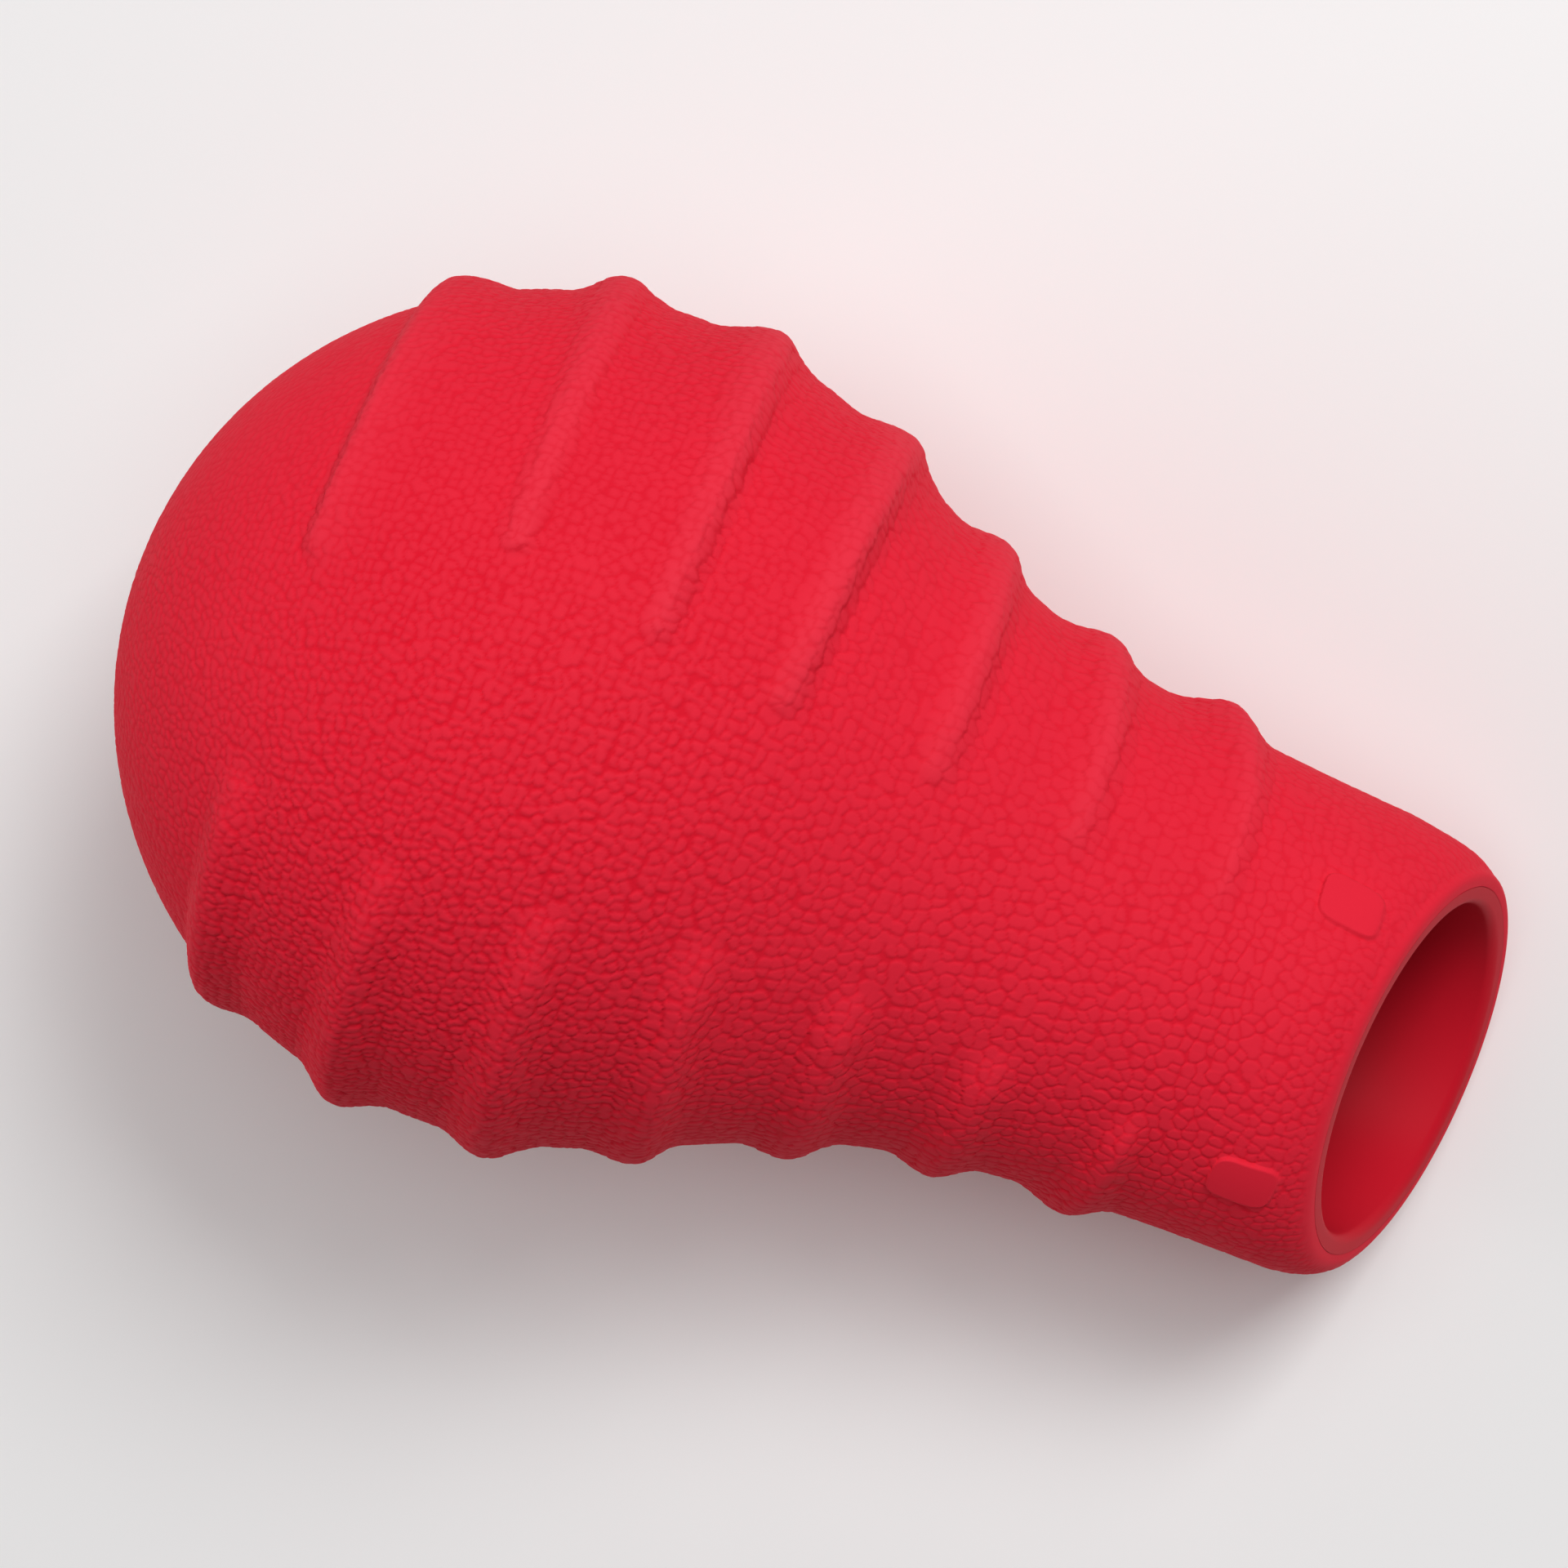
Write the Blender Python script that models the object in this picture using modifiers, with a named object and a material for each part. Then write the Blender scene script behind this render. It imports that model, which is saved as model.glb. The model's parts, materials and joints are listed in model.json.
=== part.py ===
"""Bulb-shaped chew toy for dogs, moulded in natural rubber, hollow, lying on its side.

A round bulb narrows into a neck that ends in an open mouth. The mouth is cut at a slant, so the
neck is shorter along the top than along the bottom. Two fans of soft ribs cross the left and the
right side, and a plain band runs between them along the top and the bottom. Inside, a smooth
lining cup follows the cavity and shows at the mouth as a fine closed line round the rim.

Every profile below is drawn along the toy's own axis: a station is the distance from the pole of
the bulb towards the mouth. The finished toy is then tipped until the bulb and the long side of
the lip touch z = 0. World axes: +X towards the mouth, +Y to one fan of ribs, +Z up.
"""

import math

import bpy
import numpy as np
from mathutils import Matrix

MM = 0.001

# Outer form, in millimetres
BULB_RADIUS = 52.0
CROWN_LENGTH = 53.5
SHOULDER_STATION = 64.0
SHOULDER_RADIUS = 51.3
FLANK_STATION = 84.0
FLANK_RADIUS = 44.7
NECK_STATION = 104.0
NECK_RADIUS = 36.0
THROAT_STATION = 126.0
THROAT_RADIUS = 31.4
MOUTH_STATION = 168.6
MOUTH_RADIUS = 29.0
LIP_ROUNDING = 3.0

# Walls, in millimetres: the whole rubber wall, and the lining cup inside it
BULB_WALL = 10.5
FLANK_WALL = 10.5
NECK_WALL = 10.5
THROAT_WALL = 8.6
MOUTH_WALL = 7.0
LINER_WALL = 2.2
LINER_EDGE_ROUNDING = 1.0
SEAM_GAP = 0.35

# The slanted mouth
MOUTH_SLANT_DEG = 24.5
SLANT_START_STATION = 132.0
SLANT_FULL_STATION = 162.0

# Ribs: one fan on each side, seven ribs in each. A row gives the angle off the plain band at which the
# rib's tip lies, then its sizes at the tip, half way round and at the toy's side: the crest's station, the
# half widths towards the bulb and towards the mouth, and the height.
RIB_MARKS_DEG = (0.0, 28.0, 70.0)
LEFT_RIBS = (
    (14.0, (26.0, 26.2, 24.8), (3.6, 4.2, 5.0), (7.0, 10.0, 7.0), (1.1, 2.0, 2.6)),
    (22.5, (45.3, 44.7, 43.0), (4.4, 5.2, 5.6), (4.4, 5.6, 7.5), (1.0, 1.6, 2.5)),
    (19.0, (63.9, 63.6, 61.8), (6.0, 9.0, 7.2), (4.2, 4.8, 6.8), (1.2, 2.0, 2.4)),
    (18.0, (80.1, 80.4, 81.2), (6.0, 9.0, 7.2), (4.2, 4.8, 8.0), (1.3, 2.1, 2.5)),
    (20.0, (99.2, 98.8, 96.8), (5.5, 7.0, 7.5), (4.6, 5.2, 6.4), (1.0, 1.5, 2.2)),
    (21.0, (117.6, 117.0, 113.8), (5.5, 6.6, 6.4), (4.6, 5.2, 6.2), (0.9, 1.3, 2.0)),
    (24.0, (136.6, 135.8, 130.8), (5.5, 6.6, 6.4), (4.6, 5.6, 6.8), (0.7, 1.1, 2.1)),
)
RIGHT_RIBS = (
    (18.0, (28.2, 28.4, 28.0), (4.0, 4.6, 5.4), (5.2, 6.5, 7.0), (1.0, 1.7, 2.5)),
    (17.5, (45.8, 46.4, 47.2), (5.0, 5.8, 6.6), (5.2, 6.2, 7.2), (1.0, 1.6, 2.4)),
    (15.0, (64.6, 65.4, 66.4), (5.0, 6.0, 6.8), (5.2, 6.2, 7.2), (1.0, 1.6, 2.3)),
    (14.0, (82.0, 82.8, 83.6), (5.0, 6.0, 6.8), (5.2, 6.2, 7.2), (1.0, 1.6, 2.2)),
    (15.5, (100.0, 100.2, 100.3), (5.0, 6.0, 6.8), (5.2, 6.0, 7.0), (1.0, 1.5, 2.2)),
    (21.0, (118.4, 118.2, 118.0), (5.0, 5.8, 6.6), (5.2, 5.8, 6.8), (0.9, 1.4, 2.1)),
    (25.0, (137.4, 136.4, 135.2), (5.0, 5.8, 6.6), (5.2, 5.8, 6.8), (0.8, 1.3, 2.1)),
)
TIP_FADE_DEG = 10.0

# Plain raised pads beside the mouth
PAD_LENGTH = 8.0
PAD_WIDTH = 6.5
PAD_HEIGHT = 0.6
PAD_SINK = 1.5
PAD_CORNER = 2.2
PAD_STATION = 151.0
PAD_ANGLE_DEG = 37.5

# Resting place: how deep the bulb is pressed flat where the toy lies on it
RESTING_FLAT = 0.5

# Faceting
AROUND = 60
LINER_AROUND = 36
BODY_RING_PITCH = 2.6
CAVITY_RING_PITCH = 8.0
CROWN_ARC_SHARE = 1.25
LIP_RINGS = 4
PAD_CORNER_STEPS = 4
SHARP_EDGE_DEG = 40.0

# Points within this share of the mouth's wall from the plain form are outer skin
SKIN_SHARE = 0.3

# Rounds in which the tip angle of the resting toy is found
TIP_ROUNDS = 6

RUBBER_RED = (0.72, 0.020, 0.045, 1.0)
LINING_RED = (0.60, 0.015, 0.035, 1.0)


def spline(stations, radii, at):
    """Natural cubic spline that starts level, read at the given stations."""
    x = np.asarray(stations, dtype=float)
    y = np.asarray(radii, dtype=float)
    at = np.asarray(at, dtype=float)
    h = np.diff(x)
    last = len(x) - 1
    system = np.zeros((last + 1, last + 1))
    right = np.zeros(last + 1)
    system[0, 0] = 2.0 * h[0]
    system[0, 1] = h[0]
    right[0] = 6.0 * (y[1] - y[0]) / h[0]
    for i in range(1, last):
        system[i, i - 1] = h[i - 1]
        system[i, i] = 2.0 * (h[i - 1] + h[i])
        system[i, i + 1] = h[i]
        right[i] = 6.0 * ((y[i + 1] - y[i]) / h[i] - (y[i] - y[i - 1]) / h[i - 1])
    system[last, last] = 1.0
    bend = np.linalg.solve(system, right)
    k = np.clip(np.searchsorted(x, at) - 1, 0, last - 1)
    a = (x[k + 1] - at) / h[k]
    b = (at - x[k]) / h[k]
    curve = ((a**3 - a) * bend[k] + (b**3 - b) * bend[k + 1]) * h[k] ** 2 / 6.0
    return a * y[k] + b * y[k + 1] + curve


def wall_surface(inset):
    """Pole station, widest radius and flank function of a surface inside the rubber.

    The inset is measured outwards from the bore; None is the outer skin itself."""
    stations = (CROWN_LENGTH, SHOULDER_STATION, FLANK_STATION, NECK_STATION, THROAT_STATION, MOUTH_STATION)
    radii = (BULB_RADIUS, SHOULDER_RADIUS, FLANK_RADIUS, NECK_RADIUS, THROAT_RADIUS, MOUTH_RADIUS)
    walls = (BULB_WALL, BULB_WALL, FLANK_WALL, NECK_WALL, THROAT_WALL, MOUTH_WALL)
    pole = 0.0
    if inset is not None:
        radii = tuple(r - w + inset for r, w in zip(radii, walls))
        pole = BULB_WALL - inset

    def flank(at):
        return spline(stations, radii, at)

    return pole, radii[0], flank


def side_profile(inset, end_station, pitch):
    """Points (station, radius) of one surface, from its pole to end_station."""
    pole, widest, flank = wall_surface(inset)
    crown = CROWN_LENGTH - pole
    crown_rings = round(CROWN_ARC_SHARE * crown / pitch)
    turn = np.linspace(0.0, 0.5 * math.pi, crown_rings + 1)
    crown_part = np.column_stack((CROWN_LENGTH - crown * np.cos(turn), widest * np.sin(turn)))
    flank_rings = round((end_station - CROWN_LENGTH) / pitch)
    along = np.linspace(CROWN_LENGTH, end_station, flank_rings + 1)[1:]
    return np.vstack((crown_part, np.column_stack((along, flank(along)))))


def rounded_corner(radius, rounding, outward):
    """Quarter round that ends in the mouth plane; outward is 1 outside and -1 in the bore."""
    turn = np.linspace(0.0, 0.5 * math.pi, LIP_RINGS + 1)[1:]
    stations = MOUTH_STATION - rounding + rounding * np.sin(turn)
    radii = radius - outward * rounding * (1.0 - np.cos(turn))
    return np.column_stack((stations, radii))


def body_profile():
    """Outer skin, rounded lip, flat rim and the cavity that takes the lining."""
    outside = side_profile(None, MOUTH_STATION - LIP_ROUNDING, BODY_RING_PITCH)
    lip = rounded_corner(outside[-1, 1], LIP_ROUNDING, 1)
    cavity = side_profile(LINER_WALL + SEAM_GAP, MOUTH_STATION, CAVITY_RING_PITCH)
    return np.vstack((outside, lip, cavity[::-1]))


def liner_profile():
    """Lining cup: its outside, its edge in the mouth plane and its bore."""
    outside = side_profile(LINER_WALL, MOUTH_STATION, CAVITY_RING_PITCH)
    bore = side_profile(0.0, MOUTH_STATION - LINER_EDGE_ROUNDING, CAVITY_RING_PITCH)
    edge = rounded_corner(bore[-1, 1], LINER_EDGE_ROUNDING, -1)
    return np.vstack((outside, edge[::-1], bore[::-1]))


def baked_mesh(obj):
    """The object's mesh with its modifiers worked in."""
    bpy.context.view_layer.update()
    graph = bpy.context.evaluated_depsgraph_get()
    return bpy.data.meshes.new_from_object(obj.evaluated_get(graph))


def bake(obj):
    """Replace the object's mesh by the one its modifiers make."""
    made = baked_mesh(obj)
    drawn = obj.data
    obj.modifiers.clear()
    obj.data = made
    bpy.data.meshes.remove(drawn)
    made.name = obj.name


def turned(name, profile, around, collection):
    """Turn a (station, radius) profile, and lay it with its axis along +X from pole to mouth."""
    verts = [(radius * MM, 0.0, -station * MM) for station, radius in profile]
    edges = [(i, i + 1) for i in range(len(verts) - 1)]
    mesh = bpy.data.meshes.new(name)
    mesh.from_pydata(verts, edges, [])
    obj = bpy.data.objects.new(name, mesh)
    collection.objects.link(obj)
    screw = obj.modifiers.new("Turn", "SCREW")
    screw.axis = "Z"
    screw.steps = around
    screw.render_steps = around
    screw.use_merge_vertices = True
    screw.merge_threshold = 0.00001
    bake(obj)
    obj.data.transform(Matrix.Rotation(-0.5 * math.pi, 4, "Y"))
    return obj


def read_points(obj):
    """Mesh points as columns of station, side and height, in millimetres."""
    flat = np.empty(3 * len(obj.data.vertices))
    obj.data.vertices.foreach_get("co", flat)
    return flat.reshape(-1, 3).T / MM


def write_points(obj, station, side, height):
    """Put new stations, sides and heights into the mesh."""
    placed = np.column_stack((station, side, height)) * MM
    obj.data.vertices.foreach_set("co", placed.ravel())
    obj.data.update()


def smooth_step(value):
    """Eased step from 0 to 1."""
    t = np.clip(value, 0.0, 1.0)
    return t * t * (3.0 - 2.0 * t)


def fan_height(ribs, station, angle):
    """Height of one fan's ribs at points given by their station and their angle off the plain band."""
    raised = np.zeros_like(station)
    for tip_angle, crests, bulb_halves, mouth_halves, heights in ribs:
        beyond = angle - tip_angle
        across = station - np.interp(beyond, RIB_MARKS_DEG, crests)
        bulb_half = np.interp(beyond, RIB_MARKS_DEG, bulb_halves)
        mouth_half = np.interp(beyond, RIB_MARKS_DEG, mouth_halves)
        off = across / np.where(across < 0.0, bulb_half, mouth_half)
        bell = np.clip(1.0 - off**2, 0.0, 1.0) ** 2
        reach = smooth_step(0.5 + beyond / TIP_FADE_DEG)
        crest = np.interp(beyond, RIB_MARKS_DEG, heights)
        raised = np.maximum(raised, crest * bell * reach)
    return raised


def rib_height(station, side, height):
    """How far the ribs stand over the plain form at points of the outer skin."""
    angle = np.degrees(np.arctan2(np.abs(side), np.abs(height)))
    left = fan_height(LEFT_RIBS, station, angle)
    right = fan_height(RIGHT_RIBS, station, angle)
    return np.where(side > 0.0, left, right)


def raise_ribs(body):
    """Push the outer skin out along its radius by the height of the ribs."""
    station, side, height = read_points(body)
    radius = np.hypot(side, height)
    _, widest, flank = wall_surface(None)
    crown_share = np.clip(1.0 - station / CROWN_LENGTH, 0.0, 1.0)
    crown_form = widest * np.sqrt(1.0 - crown_share**2)
    form = np.where(station < CROWN_LENGTH, crown_form, flank(station))
    on_skin = radius > form - SKIN_SHARE * MOUTH_WALL
    raised = np.where(on_skin, rib_height(station, side, height), 0.0)
    grow = 1.0 + raised / np.maximum(radius, LIP_ROUNDING)
    write_points(body, station, side * grow, height * grow)


def slant_mouth(obj):
    """Shear the end of the neck along the axis, so that the mouth plane is slanted."""
    station, side, height = read_points(obj)
    share = smooth_step((station - SLANT_START_STATION) / (SLANT_FULL_STATION - SLANT_START_STATION))
    slope = math.tan(math.radians(MOUTH_SLANT_DEG))
    write_points(obj, station - share * slope * height, side, height)


def add_pad(body, sign, cutters):
    """Union a plain round-cornered pad with the neck, beside the mouth."""
    _, _, flank = wall_surface(None)
    reach = float(flank(PAD_STATION)) + PAD_HEIGHT
    depth = PAD_HEIGHT + PAD_SINK
    bpy.ops.mesh.primitive_cube_add(size=1.0)
    pad = bpy.context.active_object
    pad.name = "pad_form"
    for owner in tuple(pad.users_collection):
        owner.objects.unlink(pad)
    cutters.objects.link(pad)
    pad.data.transform(Matrix.Diagonal((PAD_LENGTH * MM, PAD_WIDTH * MM, depth * MM, 1.0)))
    pad.data.transform(Matrix.Translation((0.0, 0.0, -0.5 * depth * MM)))
    corners = pad.modifiers.new("Corners", "BEVEL")
    corners.width = PAD_CORNER * MM
    corners.segments = PAD_CORNER_STEPS
    corners.limit_method = "WEIGHT"
    weights = pad.data.attributes.new("bevel_weight_edge", "FLOAT", "EDGE")
    for edge in pad.data.edges:
        low, high = (pad.data.vertices[i].co for i in edge.vertices)
        upright = abs(low.z - high.z) > 0.5 * depth * MM
        weights.data[edge.index].value = 1.0 if upright else 0.0
    bake(pad)
    roll = Matrix.Rotation(math.radians(-sign * PAD_ANGLE_DEG), 4, "X")
    lift = Matrix.Translation((PAD_STATION * MM, 0.0, 0.0))
    pad.data.transform(lift @ roll @ Matrix.Translation((0.0, 0.0, reach * MM)))
    pad.hide_render = True
    pad.display_type = "WIRE"
    join = body.modifiers.new("Pad", "BOOLEAN")
    join.operation = "UNION"
    join.solver = "EXACT"
    join.object = pad


def fall(station, height, tip):
    """Height of points over the floor's direction once the toy is tipped."""
    return height * math.cos(tip) - station * math.sin(tip)


def find_rest(body):
    """Tip angle and floor level at which the lip and the flat of the bulb touch the floor."""
    station, side, height = read_points(body)
    at_bulb = station < NECK_STATION
    tip = 0.0
    for _ in range(TIP_ROUNDS):
        drop = fall(station, height, tip)
        low_bulb = np.argmin(np.where(at_bulb, drop, np.inf))
        low_lip = np.argmin(np.where(at_bulb, np.inf, drop))
        rise = height[low_lip] - height[low_bulb] - RESTING_FLAT / math.cos(tip)
        tip = math.atan2(rise, station[low_lip] - station[low_bulb])
    return tip, fall(station[low_lip], height[low_lip], tip)


def press_flat(body, tip, floor):
    """Lift the points of the bulb that lie under the floor up to it."""
    station, side, height = read_points(body)
    lift = np.maximum(floor - fall(station, height, tip), 0.0)
    write_points(body, station - lift * math.sin(tip), side, height + lift * math.cos(tip))


def resting_frame(body, tip, floor):
    """Matrix that tips the toy on to z = 0, centred on its bounding box."""
    station, side, height = read_points(body)
    along = station * math.cos(tip) + height * math.sin(tip)
    middle_x = 0.5 * (along.min() + along.max())
    middle_y = 0.5 * (side.min() + side.max())
    shift = Matrix.Translation((-middle_x * MM, -middle_y * MM, -floor * MM))
    return shift @ Matrix.Rotation(tip, 4, "Y")


def rubber(name, colour, roughness):
    """Principled material for one kind of rubber."""
    material = bpy.data.materials.new(name)
    material.use_nodes = True
    shader = material.node_tree.nodes["Principled BSDF"]
    shader.inputs["Base Color"].default_value = colour
    shader.inputs["Roughness"].default_value = roughness
    shader.inputs["Metallic"].default_value = 0.0
    material.diffuse_color = colour
    return material


def finish(obj, material, frame):
    """Give the piece its material, smooth shading and place."""
    obj.data.materials.clear()
    obj.data.materials.append(material)
    obj.data.shade_smooth()
    obj.data.set_sharp_from_angle(angle=math.radians(SHARP_EDGE_DEG))
    obj.parent = frame


def make_outer_body(toy, cutters):
    """Ribbed outer rubber with the slanted mouth and the two pads."""
    body = turned("outer_body", body_profile(), AROUND, toy)
    raise_ribs(body)
    slant_mouth(body)
    for sign in (1, -1):
        add_pad(body, sign, cutters)
    bake(body)
    return body


def make_inner_liner(toy):
    """Smooth lining cup, open at the mouth."""
    liner = turned("inner_liner", liner_profile(), LINER_AROUND, toy)
    slant_mouth(liner)
    return liner


def main():
    for old in list(bpy.data.objects):
        bpy.data.objects.remove(old, do_unlink=True)
    toy = bpy.data.collections.new("bulb_chew_toy")
    cutters = bpy.data.collections.new("cutters")
    bpy.context.scene.collection.children.link(toy)
    bpy.context.scene.collection.children.link(cutters)
    frame = bpy.data.objects.new("resting_frame", None)
    toy.objects.link(frame)
    body = make_outer_body(toy, cutters)
    liner = make_inner_liner(toy)
    tip, floor = find_rest(body)
    press_flat(body, tip, floor)
    frame.matrix_world = resting_frame(body, tip, floor)
    finish(body, rubber("body_rubber", RUBBER_RED, 0.55), frame)
    finish(liner, rubber("lining_rubber", LINING_RED, 0.5), frame)


main()
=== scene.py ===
"""Looks of a hollow bulb-shaped rubber dog toy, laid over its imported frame. Lengths are millimetres."""
import json
import math

import bpy
import numpy as np
from mathutils import Matrix, Vector


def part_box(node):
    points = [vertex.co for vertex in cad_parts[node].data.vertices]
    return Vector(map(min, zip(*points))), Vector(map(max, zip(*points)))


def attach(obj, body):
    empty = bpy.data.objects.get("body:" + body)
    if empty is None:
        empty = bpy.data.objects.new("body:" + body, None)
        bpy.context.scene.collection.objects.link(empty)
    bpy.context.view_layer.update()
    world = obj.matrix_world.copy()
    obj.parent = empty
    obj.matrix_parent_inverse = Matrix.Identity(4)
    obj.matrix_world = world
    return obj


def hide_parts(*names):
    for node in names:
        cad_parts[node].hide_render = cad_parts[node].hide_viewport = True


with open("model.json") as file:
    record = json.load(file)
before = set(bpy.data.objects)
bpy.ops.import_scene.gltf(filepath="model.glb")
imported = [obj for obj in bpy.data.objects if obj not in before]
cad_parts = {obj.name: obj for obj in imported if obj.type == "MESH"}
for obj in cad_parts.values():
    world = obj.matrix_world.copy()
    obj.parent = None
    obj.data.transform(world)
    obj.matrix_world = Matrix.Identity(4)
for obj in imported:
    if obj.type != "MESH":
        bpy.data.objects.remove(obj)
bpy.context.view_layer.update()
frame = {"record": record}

MM = 0.001
FULL_TURN = 2.0 * math.pi
TINY = 1e-12

# Outer form: stations run along the toy's axis from the bulb's pole
CROWN_LENGTH = 53.5
BULB_RADIUS = 52.0
SHOULDER_STATION = 64.0
SHOULDER_RADIUS = 51.4
FLANK_STATION = 84.0
FLANK_RADIUS = 44.7
NECK_STATION = 104.0
NECK_RADIUS = 35.9
THROAT_STATION = 126.0
THROAT_RADIUS = 31.3
MOUTH_STATION = 168.6
MOUTH_RADIUS = 29.0
LIP_ROUNDING_ALONG = 8.0
LIP_ROUNDING_ACROSS = 4.0
# The lip is drawn in by this much on the upper fan's side, from this far before the mouth, over this run
LIP_EASING = 0.6
LIP_EASING_START = 13.0
LIP_EASING_RUN = 8.0

# Walls: whole rubber wall, and the lining cup inside it
BULB_WALL = 10.5
THROAT_WALL = 8.6
MOUTH_WALL = 7.0
LINER_WALL = 2.2
LINER_EDGE_ROUNDING = 1.2
SEAM_GAP = 0.35
FINE_SEAM = 0.08

# Slanted mouth. It also turns a little sideways, about an upright line that stands beside the axis
MOUTH_SLANT_DEG = 24.5
MOUTH_YAW_DEG = 1.6
MOUTH_YAW_SIDE = 12.0
SLANT_START_STATION = 132.0
SLANT_FULL_STATION = 162.0
RIM_MARK_RADIUS = 25.2

# Ribs. A row gives the angle off the plain band where the rib's tip ends. Then come, at the tip, half way
# and at the toy's side: the crest's station, the swell's half widths towards bulb and mouth, its height, and
# the ridge's height. Last come, at the tip and at the side, how soft the ridge's flanks towards bulb and
# mouth are. The angles past the tip at which these hold are in degrees
RIB_ANGLES = (0.0, 28.0, 70.0)
FLANK_ANGLES = (0.0, 70.0)
UPPER_RIBS = (
    (14.0, (24.4, 24.5, 24.1), (2.6, 3.4, 4.4), (12.0, 14.0, 6.6),
     (0.4, 1.2, 2.2), (0.7, 0.9, 0.3), (0.9, 1.4), (4.0, 5.0)),
    (22.5, (45.3, 44.3, 42.0), (4.0, 5.0, 6.4), (4.0, 5.0, 7.2),
     (0.3, 0.7, 2.0), (0.9, 0.9, 0.6), (1.3, 2.2), (0.9, 1.3)),
    (19.0, (63.5, 63.0, 61.3), (8.0, 13.0, 8.0), (3.4, 3.8, 7.2),
     (0.4, 1.3, 1.8), (0.8, 1.2, 0.8), (1.3, 4.0), (1.5, 1.5)),
    (18.0, (79.4, 79.6, 80.7), (8.0, 13.0, 7.4), (3.6, 4.4, 7.8),
     (0.4, 1.4, 1.8), (0.8, 1.4, 0.9), (1.3, 4.0), (1.6, 1.5)),
    (20.0, (98.4, 97.9, 96.6), (6.0, 8.0, 6.2), (4.2, 4.6, 6.2),
     (0.4, 1.1, 1.6), (0.7, 1.0, 0.7), (1.5, 2.8), (1.9, 1.6)),
    (21.0, (116.8, 115.9, 113.2), (6.0, 7.0, 7.6), (4.2, 4.8, 6.6),
     (0.4, 1.0, 1.6), (0.6, 0.9, 0.6), (1.6, 2.4), (2.1, 1.8)),
    (24.0, (135.6, 134.5, 129.8), (6.0, 7.0, 8.4), (4.2, 5.2, 7.2),
     (0.3, 0.9, 2.3), (0.5, 0.7, 0.6), (1.7, 2.4), (2.2, 2.0)),
)
LOWER_RIBS = (
    (21.0, (26.0, 27.4, 28.8), (3.8, 4.4, 4.2), (4.6, 5.6, 6.6),
     (1.0, 1.6, 2.0), (0.7, 0.8, 0.5), (2.4, 2.2), (2.2, 2.0)),
    (21.5, (45.8, 46.4, 47.4), (4.8, 5.4, 6.4), (4.6, 5.4, 7.4),
     (1.0, 1.5, 2.1), (0.75, 0.9, 0.5), (2.4, 2.2), (2.2, 1.8)),
    (19.0, (64.6, 65.4, 66.3), (4.8, 5.6, 6.6), (4.6, 5.4, 7.4),
     (1.0, 1.5, 1.8), (0.75, 0.9, 0.4), (2.5, 2.2), (2.3, 1.8)),
    (18.0, (82.0, 82.8, 83.2), (4.8, 5.6, 6.6), (4.6, 5.4, 5.2),
     (1.0, 1.5, 1.5), (0.75, 0.9, 0.4), (2.6, 2.2), (2.4, 1.8)),
    (21.0, (100.0, 100.2, 100.3), (4.8, 5.6, 6.4), (4.6, 5.4, 6.8),
     (1.0, 1.4, 1.7), (0.7, 0.8, 0.4), (2.8, 2.3), (2.8, 2.0)),
    (26.5, (118.4, 118.0, 117.4), (4.8, 5.6, 6.8), (4.6, 5.4, 6.8),
     (0.9, 1.3, 1.8), (0.65, 0.7, 0.4), (2.8, 2.4), (2.8, 2.1)),
    (30.5, (137.4, 136.2, 133.6), (4.8, 5.6, 8.4), (4.6, 5.4, 7.4),
     (0.8, 1.2, 1.9), (0.6, 0.6, 0.5), (2.8, 2.4), (2.8, 2.1)),
)
RIB_REACH = 20.0
RIDGE_HALF_WIDTHS = (1.7, 2.0, 2.6)
RIDGE_LEVEL_SHARE = 0.45
RIDGE_DOME_SHARE = 0.55
FLANK_CHANGE = 1.6
# Degrees past the tip over which the swell rises, and the crease at the ridge's foot comes and goes
SWELL_RISE = (-1.0, 10.0)
CREASE_RISE = (-1.0, 5.0)
CREASE_FADE = (45.0, 70.0)
CREASE_DEPTH = 0.07
CREASE_WIDTH = 0.6
CREASE_OFFSET = 0.2
# A flank softer than this has no crease; one crisper by the range has all of it
CRISP_LIMIT = 1.1
CRISP_RANGE = 0.6

# Pebble grain, as cut into the mould
PEBBLE_STATIONS = (0.0, 50.0, 100.0, 145.0, 175.0)
PEBBLE_PITCHES = (1.2, 1.25, 1.6, 1.6, 1.3)
PEBBLE_HEIGHT = 0.18
PEBBLE_HEIGHT_SPREAD = (0.75, 1.1)
PEBBLE_MIDDLE = 0.55
PEBBLE_SHOULDER = 0.44
PEBBLE_REACH = 0.67
PEBBLE_REACH_SPREAD = (0.82, 1.12)
PEBBLE_SHAKE = 0.32
PEBBLE_HOLD = 0.2
GROOVE_HALF_WIDTH = 0.02
JOIN_NEXT_SHARE = 0.24
JOIN_ABOVE_SHARE = 0.18
CORNER_ROUNDING = 0.11
NEIGHBOURS = 2
GRAIN_SHEET_EXTRA = 20.0
WANDER = 0.22
WANDER_LENGTH = 2.6
WANDER_SPREAD = (0.7, 1.5)
WANDER_WAVES = 9

# Where the grain is weaker: on the dome, the neck, the rib crests, the upper fan and towards the mouth.
# Spans are stations, and for the upper fan sines of the angle round the toy
GRAIN_AT_POLE = 0.7
GRAIN_BULB_GAIN = 0.45
GRAIN_BULB_SPAN = (10.0, 40.0)
GRAIN_NECK_LOSS = 0.3
GRAIN_NECK_SPAN = (60.0, 100.0)
GRAIN_CREST_LOSS = 0.3
GRAIN_UPPER_LOSS = 0.3
GRAIN_UPPER_SPAN = (0.1, 0.7)
GRAIN_MOUTH_LOSS = 0.1
GRAIN_MOUTH_SPAN = (138.0, 160.0)
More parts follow.
